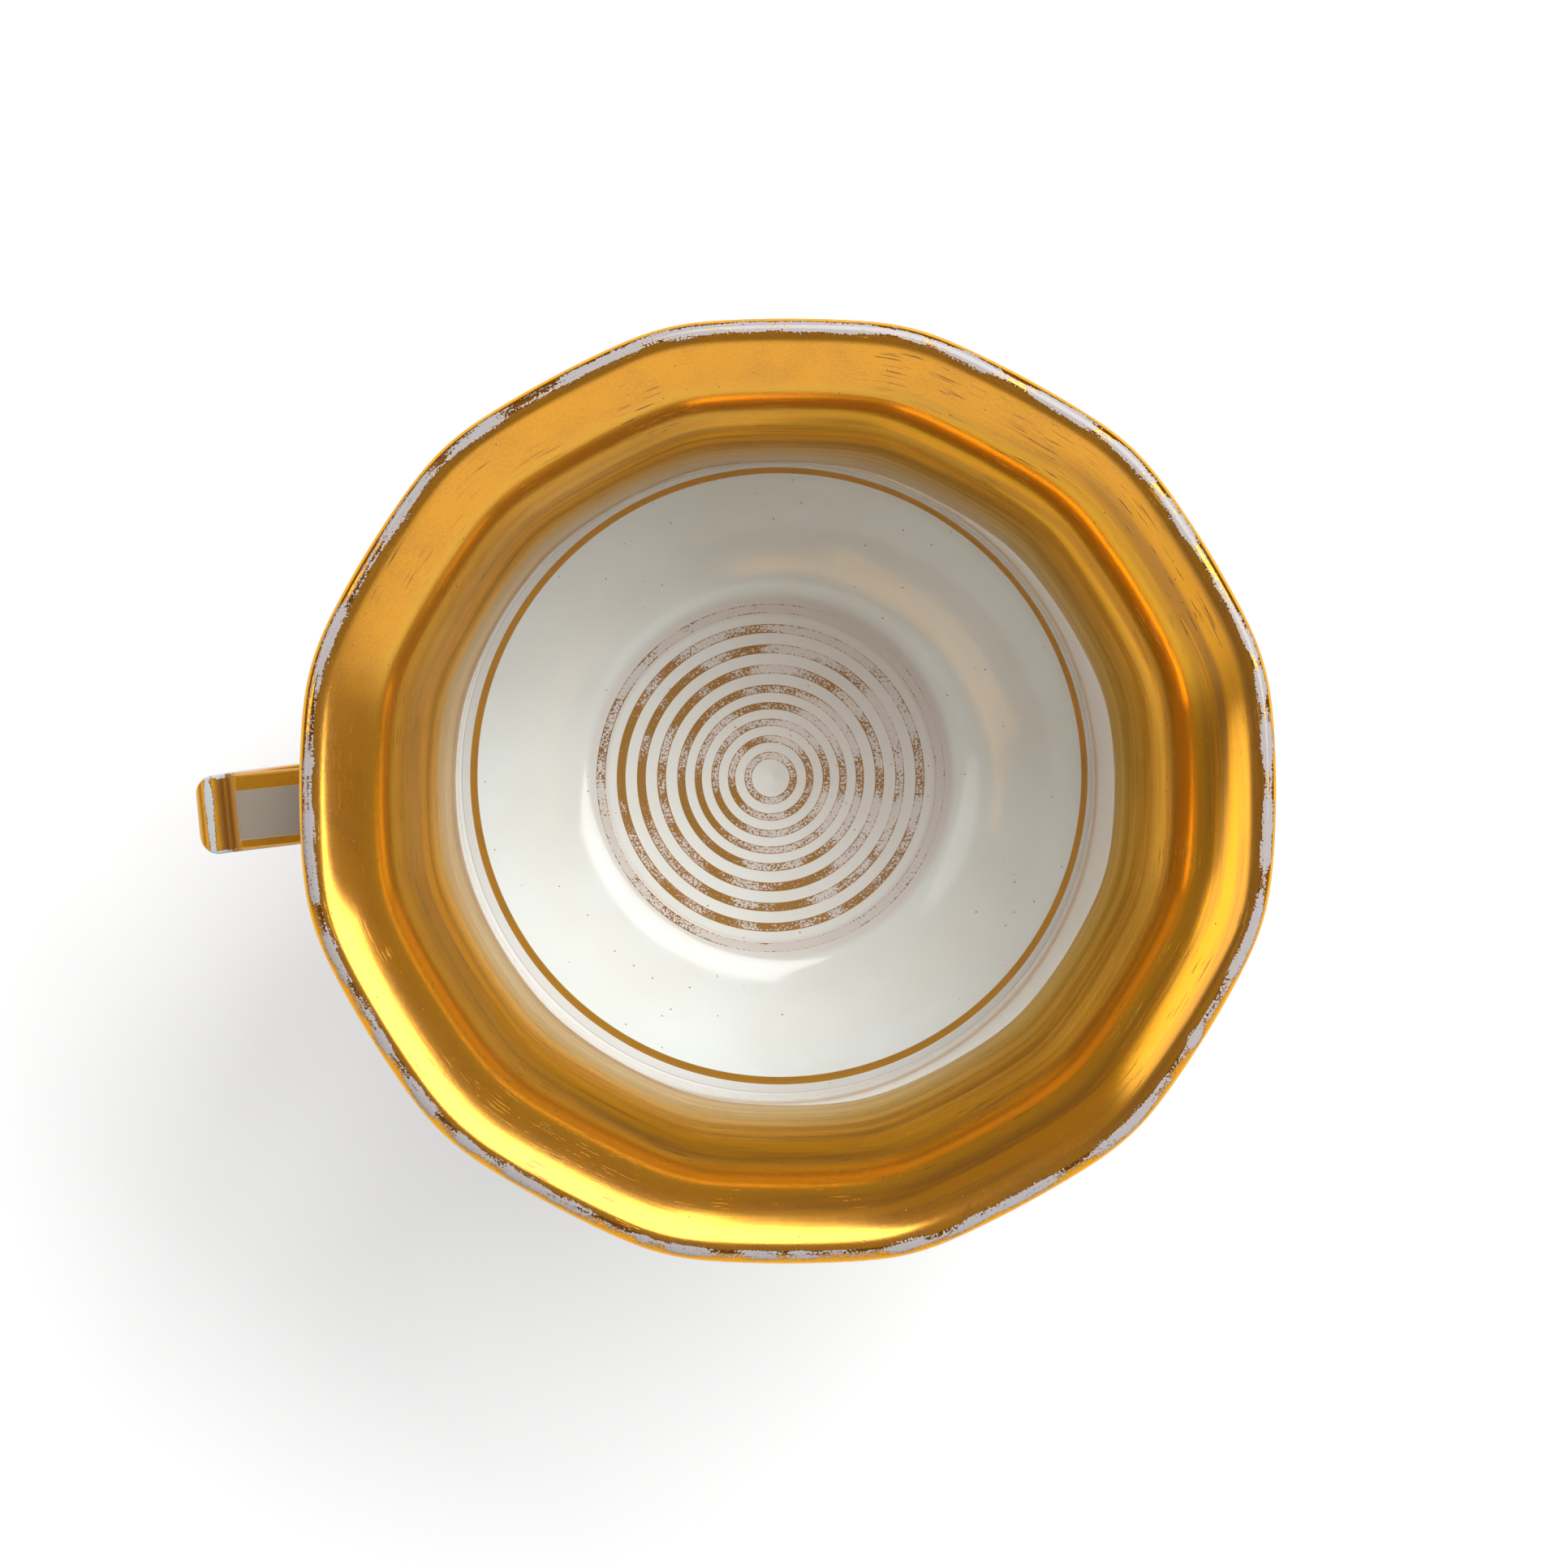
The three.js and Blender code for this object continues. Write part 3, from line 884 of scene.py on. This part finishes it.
def press_facets(piece, sizes):
    """Presses the facets and the oval of the mouth into the turned bowl, more and more towards the lip."""
    start = BOWL_LOW.z + sizes.floor_thickness + sizes.round_rise
    for corner in piece.data.vertices:
        level = Vector((corner.co.x - AXIS.x, corner.co.y - AXIS.y))
        share = min(max((corner.co.z - start) / (BOWL_HIGH.z - start), 0), 1)
        if share == 0:
            continue
        angle = math.atan2(level.y, level.x)
        swell = sizes.mouth_oval * math.cos(2 * angle)
        swell -= sizes.facet_depth / 2 * math.cos(sizes.facets * angle)
        swell += sizes.facet_crease * math.cos(2 * sizes.facets * angle)
        moved = level * (1 + share * swell / level.length)
        corner.co.x = AXIS.x + moved.x
        corner.co.y = AXIS.y + moved.y


def mark_lengths(piece, shape):
    """Keeps how far each corner lies along the bowl's paths, in millimetres from the floor's middle."""
    inside = lengths_along(shape.inside)
    outside = [inside[-1] + distance for distance in lengths_along(shape.outside)]
    path = shape.inside + shape.outside
    marks = KDTree(len(path))
    for index, point in enumerate(path):
        marks.insert((point.x, point.y, 0), index)
    marks.balance()
    distances = inside + outside
    along = piece.data.attributes.new("along", "FLOAT", "POINT")
    for corner, value in zip(piece.data.vertices, along.data):
        radius = (corner.co - AXIS).xy.length
        value.value = distances[marks.find((radius, corner.co.z, 0))[1]] / MM


class CUP_OT_bowl(Operator):
    """Turn the bowl, press its facets and gild its inside"""

    bl_idname = "cup.bowl"
    bl_label = "Bowl"

    def execute(self, context):
        scene = context.scene
        shape = BowlShape(scene.cup_bowl)
        finishes = Finishes(scene.cup_colours)
        lining = turned("bowl_lining", shape.inside)
        lining.data.materials.append(gilded_wall(finishes, shape))
        lining.data.materials.append(ringed_floor(finishes, shape))
        for face in lining.data.polygons:
            face.material_index = int(face.center.z < WHITE_HEIGHT)
        bowl = turned("tea_bowl", shape.outside)
        bowl.data.materials.append(bowl_outside(finishes, shape))
        lining.select_set(True)
        bpy.ops.object.join()
        bpy.ops.object.mode_set(mode="EDIT")
        weld()
        bpy.ops.object.mode_set(mode="OBJECT")
        mark_lengths(bowl, shape)
        press_facets(bowl, scene.cup_bowl)
        finish_piece(bowl, "bowl")
        return {"FINISHED"}


class CUP_OT_foot(Operator):
    """Turn the foot and the slip that joins it to the bowl"""

    bl_idname = "cup.foot"
    bl_label = "Foot"

    def execute(self, context):
        scene = context.scene
        sizes = scene.cup_foot
        finishes = Finishes(scene.cup_colours)
        radius = (FOOT_HIGH.x - FOOT_LOW.x) / 2
        top = FOOT_HIGH.z
        seat = scene.cup_bowl.seat_radius
        inner = seat - sizes.wall
        ring_inside = radius - sizes.edge_round - sizes.ring_width
        waist = at(sizes.waist_radius, sizes.waist_height)
        outline = [at(ring_inside, 0), at(radius - sizes.edge_round, 0)]
        outline += curve([outline[-1], at(radius, 0), at(radius, sizes.edge_round)], 6)
        outline += line(outline[-1], at(radius, sizes.toe), 2)
        outline += curve([outline[-1], at(waist.x, sizes.toe), waist], 14)
        outline += curve([waist, at(waist.x, top), at(seat, top)], 10)
        outline += line(outline[-1], at(inner, top), 3)
        outline += curve([outline[-1], at(inner, sizes.toe), outline[0]], 12)
        foot = turned("turned_foot", outline)
        foot.data.materials.append(foot_finish(finishes))
        finish_piece(foot, "foot")

        sink = 0.1 * MM
        bead = 0.35 * MM
        low, high = top - sink, BOWL_LOW.z + sink
        ring = [at(inner, low), at(seat - sink, low)]
        ring += curve([ring[-1], at(seat - sink + bead, (low + high) / 2), at(seat + bead, high)], 5)
        ring += [at(inner, high), at(inner, low)]
        slip = turned("foot_joint", ring)
        slip.data.materials.append(slip_finish(finishes))
        finish_piece(slip, "foot_slip")
        return {"FINISHED"}


class CUP_OT_handle(Operator):
    """Draw the handle's outline, extrude it to its width and round its edges"""

    bl_idname = "cup.handle"
    bl_label = "Handle"

    def execute(self, context):
        scene = context.scene
        sizes = scene.cup_handle
        strap = StrapPlace(sizes, BowlShape(scene.cup_bowl))
        outline = self.outline(sizes, strap)
        half = sizes.strap_width / 2
        piece = draw_chain("gilded_handle", [strap.point(point.x, -half, point.y) for point in outline])
        bpy.ops.mesh.select_all(action="SELECT")
        bpy.ops.mesh.edge_face_add()
        bpy.ops.mesh.extrude_region_move(TRANSFORM_OT_translate={"value": sizes.strap_width * strap.across})
        weld()
        self.round_edges(piece, sizes, strap)
        self.widen_roll(piece, sizes, strap)
        bpy.ops.object.mode_set(mode="OBJECT")
        self.round_roll(piece, sizes, strap)
        piece.data.materials.append(handle_finish(Finishes(scene.cup_colours), sizes, strap))
        finish_piece(piece, "handle")
        apply_modifier(piece, "WEIGHTED_NORMAL", weight=90)
        return {"FINISHED"}

    def outline(self, sizes, strap):
        """The side view of the handle: out along the top, over the roll, down the back and home inside."""
        half = sizes.strap_thickness / 2
        top = sizes.top
        back = sizes.reach - sizes.roll_proud
        middle = back - half
        roll_top = top + sizes.roll_proud
        roll_middle = sizes.reach - sizes.roll_radius
        valley = at(roll_middle - 0.9 * sizes.roll_radius, top - sizes.valley_depth)
        bend = sizes.elbow_radius
        elbow = at(middle, strap.height)
        heel = at(strap.lower_root + sizes.heel_stub, sizes.heel_height)
        sunk = 0.5 * MM

        start = at(strap.upper_root - sunk, top)
        outer = [start] + line(start, at(valley.x - sizes.roll_radius, top), 4)
        outer += curve([outer[-1], at(valley.x - 0.5 * sizes.roll_radius, top), valley], 6)
        crown = at(roll_middle, roll_top)
        outer += curve([valley, at(valley.x + 0.4 * sizes.roll_radius, roll_top), crown], 6)
        outer += curve([crown, at(sizes.reach, roll_top), at(sizes.reach, roll_top - sizes.roll_radius)], 8)
        below = at(back, roll_top - 2.6 * sizes.roll_radius)
        outer += curve([outer[-1], at(sizes.reach, below.y + sizes.roll_radius), below], 6)

        route = [at(strap.upper_root - sunk, strap.height), elbow - at(bend, 0)]
        route += curve([route[-1], elbow, elbow - at(0, bend)], 8)
        drop_start = len(route) - 1
        route += curve(
            [route[-1], route[-1] - at(0, sizes.drop_pull), heel + at(sizes.heel_pull, 0), heel], 24
        )
        route += [at(strap.lower_root - sunk, heel.y)]
        outer += [point + half * facing for point, facing in self.facings(route)[drop_start + 1:]]
        inner = [point - half * facing for point, facing in reversed(self.facings(route))]
        return outer + inner

    def facings(self, route):
        """Each point of a route with the direction to its outer side."""
        found = []
        for index, point in enumerate(route):
            ahead = route[min(index + 1, len(route) - 1)]
            behind = route[max(index - 1, 0)]
            run = (ahead - behind).normalized()
            found.append((point, at(-run.y, run.x)))
        return found

    def round_edges(self, piece, sizes, strap):
        """Bevels the long edges on both sides of the strap."""
        half = sizes.strap_width / 2

        def on_side(mesh, edge):
            sides = [(mesh.vertices[index].co - strap.joint).dot(strap.across) for index in edge.vertices]
            return abs(sides[0] - sides[1]) < NEAR and abs(abs(sides[0]) - half) < NEAR

        bpy.ops.mesh.select_mode(type="EDGE")
        select_where(piece, "EDGE", on_side)
        bpy.ops.mesh.bevel(offset=sizes.strap_edge, segments=5, affect="EDGES", clamp_overlap=True)
        bpy.ops.mesh.select_mode(type="VERT")

    def widen_roll(self, piece, sizes, strap):
        """Draws the ends of the thumb roll a little past the strap."""
        centre = strap.point(
            sizes.reach - sizes.roll_radius, 0, sizes.top + sizes.roll_proud - sizes.roll_radius
        )
        reach = 1.25 * sizes.roll_radius

        def near_roll(mesh, corner):
            away = corner.co - centre
            return (away - away.dot(strap.across) * strap.across).length < reach

        select_where(piece, "VERT", near_roll)
        bpy.ops.transform.resize(value=(1, sizes.roll_width / sizes.strap_width, 1), center_override=centre)

    def round_roll(self, piece, sizes, strap):
        """Rounds the roll's outer corners as seen from above."""
        half = sizes.roll_width / 2
        start = sizes.reach - sizes.roll_end
        for corner in piece.data.vertices:
            joint = corner.co - strap.joint
            beyond = joint.dot(strap.outward) + strap.upper_root - start
            if beyond > 0:
                kept = math.sqrt(max(sizes.roll_end ** 2 - beyond ** 2, 0))
                inset = (sizes.roll_end - kept) / half
                corner.co -= inset * joint.dot(strap.across) * strap.across


class CUP_OT_slip_collars(Operator):
    """Sweep the slip that joins each end of the handle to the wall"""

    bl_idname = "cup.slip_collars"
    bl_label = "Slip Collars"

    def execute(self, context):
        scene = context.scene
        sizes = scene.cup_handle
        strap = StrapPlace(sizes, BowlShape(scene.cup_bowl))
        finish = slip_finish(Finishes(scene.cup_colours))
        for name, node, root, height in (
            ("upper_joint", "upper_slip_collar", strap.upper_root, strap.height),
            ("lower_joint", "lower_slip_collar", strap.lower_root, sizes.heel_height),
        ):
            collar = self.sweep(name, sizes, strap, root, height)
            collar.data.materials.append(finish)
            finish_piece(collar, node)
        return {"FINISHED"}

    def sweep(self, name, sizes, strap, root, height):
        """A fillet from the strap's section out to the wall, as a ring of edges extruded and spread."""
        steps = 7
        fillet = sizes.fillet
        half_width = sizes.strap_width / 2
        half_rise = sizes.strap_thickness / 2
        start = root + fillet
        corner = sizes.strap_edge
        section = []
        for side, rise in ((1, 1), (-1, 1), (-1, -1), (1, -1)):
            arc = [
                at(side * (half_width - corner), rise * half_rise),
                at(side * half_width, rise * half_rise),
                at(side * half_width, rise * (half_rise - corner)),
            ]
            turn = [arc[0]] + curve(arc, 5)
            section += reversed(turn) if side * rise > 0 else turn
        section.append(section[0])
        piece = draw_chain(name, [strap.point(start, point.x, height + point.y) for point in section])
        bpy.ops.mesh.select_all(action="SELECT")
        bpy.ops.mesh.remove_doubles(threshold=WELD)
        spread = 0.0
        depth = 0.0
        for step in range(1, steps + 1):
            angle = step / steps * math.pi / 2
            new_depth = fillet * math.sin(angle)
            new_spread = fillet * (1 - math.cos(angle))
            run = -(new_depth - depth) * strap.outward
            bpy.ops.mesh.extrude_region_move(TRANSFORM_OT_translate={"value": run})
            growth = (half_width + new_spread) / (half_width + spread)
            rise = (half_rise + new_spread) / (half_rise + spread)
            centre = strap.point(start - new_depth, 0, height)
            bpy.ops.transform.resize(value=(1, growth, rise), center_override=centre)
            depth, spread = new_depth, new_spread
        bpy.ops.mesh.extrude_region_move(TRANSFORM_OT_translate={"value": -fillet * strap.outward})
        bpy.ops.mesh.edge_face_add()
        select_where(piece, "VERT", lambda mesh, corner: self.first_ring(corner, strap, start))
        bpy.ops.mesh.edge_face_add()
        weld()
        bpy.ops.object.mode_set(mode="OBJECT")
        return piece

    def first_ring(self, corner, strap, start):
        """Whether a corner belongs to the ring that lies on the strap."""
        out = (corner.co - strap.joint).dot(strap.outward) + strap.upper_root
        return abs(out - start) < NEAR


class CUP_OT_stage(Operator):
    """Lay the floor, hang the lights and stand the camera over the cup"""

    bl_idname = "cup.stage"
    bl_label = "Stage"

    # What the gilding mirrors of the unlit room, as shares of red, green and blue.
    room_tone = (0.82, 0.55, 0.35)

    # The side of the floor, and how far the camera sees, in metres.
    floor_side = 8
    sight = 20

    def execute(self, context):
        self.lay_floor()
        self.light_world(context.scene)
        self.hang_lamp("soft_box", azimuth=50, zenith=37, distance=1.0, width=1.1, height=0.6, radiance=5.2)
        overhead = self.hang_lamp(
            "overhead_box", azimuth=95, zenith=9, distance=1.0, width=0.4, height=0.4, radiance=3.4
        )
        overhead.visible_glossy = False
        self.stand_camera(context.scene, context.scene.cup_stage)
        context.scene.view_settings.view_transform = "Standard"
        return {"FINISHED"}

    def lay_floor(self):
        """A pale floor that takes the cup's shadow."""
        bpy.ops.object.select_all(action="DESELECT")
        bpy.ops.mesh.primitive_plane_add(size=self.floor_side)
        floor = bpy.context.object
        floor.name = "floor"
        material = bpy.data.materials.new("Pale Floor")
        wiring = empty_tree(material)
        paper = wiring.take("ShaderNodeBsdfDiffuse", 0, {"Color": (0.8, 0.8, 0.8, 1)})
        camera = wiring.take("ShaderNodeLightPath", "Is Camera Ray")
        glossy = wiring.take("ShaderNodeLightPath", "Is Glossy Ray")
        lift = wiring.take("ShaderNodeEmission", 0, {"Strength": 0.42 * camera.most(glossy)})
        both = wiring.take("ShaderNodeAddShader", 0, {0: paper, 1: lift})
        wiring.add("ShaderNodeOutputMaterial", {"Surface": both})
        floor.data.materials.append(material)

    def light_world(self, scene):
        """Soft light, dim overhead, with patches in front and to the left that the gilding mirrors."""
        world = bpy.data.worlds.new("Studio")
        scene.world = world
        wiring = empty_tree(world)
        facing = wiring.take("ShaderNodeTexCoord", "Generated")
        glossy = wiring.take("ShaderNodeLightPath", "Is Glossy Ray")
        below = wiring.split(facing)[2].fade(0.88, 0.78)
        soft = wiring.between(below, 0.22, 0.27)
        front = wiring.vector("DOT_PRODUCT", facing, (0, -1, 0)).fade(0.05, 0.5)
        left = wiring.vector("DOT_PRODUCT", facing, self.towards(164, 50)).fade(0.94, 0.965)
        bright = (0.8 * front * below + 1.9 * left) * glossy
        shares = zip(("Red", "Green", "Blue"), self.room_tone)
        tones = {name: soft * wiring.between(glossy, 1.0, share) + bright for name, share in shares}
        colour = wiring.take("ShaderNodeCombineColor", 0, tones)
        background = wiring.take("ShaderNodeBackground", 0, {"Color": colour})
        wiring.add("ShaderNodeOutputWorld", {"Surface": background})

    def towards(self, azimuth, zenith):
        """The direction with these angles, round from the right and down from straight above."""
        turn, tilt = math.radians(azimuth), math.radians(zenith)
        return Vector((math.cos(turn) * math.sin(tilt), math.sin(turn) * math.sin(tilt), math.cos(tilt)))

    def hang_lamp(self, name, azimuth, zenith, distance, width, height, radiance):
        """A soft box that faces the cup, as bright as its radiance says."""
        away = self.towards(azimuth, zenith)
        target = AXIS + Vector((0, 0, BOWL_HIGH.z))
        facing = away.to_track_quat("Z", "Y").to_euler()
        bpy.ops.object.light_add(type="AREA", location=target + distance * away, rotation=facing)
        lamp = bpy.context.object
        lamp.name = name
        lamp.data.shape = "RECTANGLE"
        lamp.data.size = width
        lamp.data.size_y = height
        lamp.data.energy = radiance * math.pi * width * height
        lamp.visible_camera = False
        return lamp

    def stand_camera(self, scene, setting):
        """A long lens almost straight above the cup, with the handle to the left."""
        lip = AXIS + Vector((0, 0, BOWL_HIGH.z))
        stand = lip + Vector((-setting.camera_left, setting.camera_back, setting.camera_height))
        target = lip + Vector((-setting.aim_left, setting.aim_back, 0))
        forward = (target - stand).normalized()
        up = (Vector((0, 1, 0)) - forward.y * forward).normalized()
        right = forward.cross(up)
        turn = Matrix((right, up, -forward)).transposed()
        bpy.ops.object.camera_add(location=stand, rotation=turn.to_euler())
        camera = bpy.context.object
        camera.name = "camera"
        camera.data.lens = camera.data.sensor_width * setting.camera_height / setting.frame_width
        camera.data.clip_end = self.sight
        scene.camera = camera


class CUP_PT_panel(Panel):
    """The cup's sizes, colours and steps"""

    bl_idname = "CUP_PT_panel"
    bl_label = "Gilded Tea Cup"
    bl_space_type = "VIEW_3D"
    bl_region_type = "UI"
    bl_category = "Cup"

    def draw(self, context):
        for holder in GROUPS:
            box = self.layout.box()
            box.label(text=holder.replace("cup_", "").title())
            group = getattr(context.scene, holder)
            for name in group.bl_rna.properties.keys():
                if name not in {"rna_type", "name"}:
                    box.prop(group, name)
        for step in STEPS:
            self.layout.operator(step.bl_idname)


GROUPS = {
    "cup_bowl": BowlSizes,
    "cup_foot": FootSizes,
    "cup_handle": HandleSizes,
    "cup_colours": FinishColours,
    "cup_stage": StageSetting,
}
STEPS = (CUP_OT_bowl, CUP_OT_foot, CUP_OT_handle, CUP_OT_slip_collars, CUP_OT_stage)
CLASSES = (*GROUPS.values(), *STEPS, CUP_PT_panel)


def register():
    for item in CLASSES:
        bpy.utils.register_class(item)
    for holder, group in GROUPS.items():
        setattr(bpy.types.Scene, holder, PointerProperty(type=group))


def unregister():
    for holder in GROUPS:
        delattr(bpy.types.Scene, holder)
    for item in reversed(CLASSES):
        bpy.utils.unregister_class(item)


def main():
    register()
    bpy.ops.cup.bowl()
    bpy.ops.cup.foot()
    bpy.ops.cup.handle()
    bpy.ops.cup.slip_collars()
    bpy.ops.cup.stage()


if __name__ == "__main__":
    main()
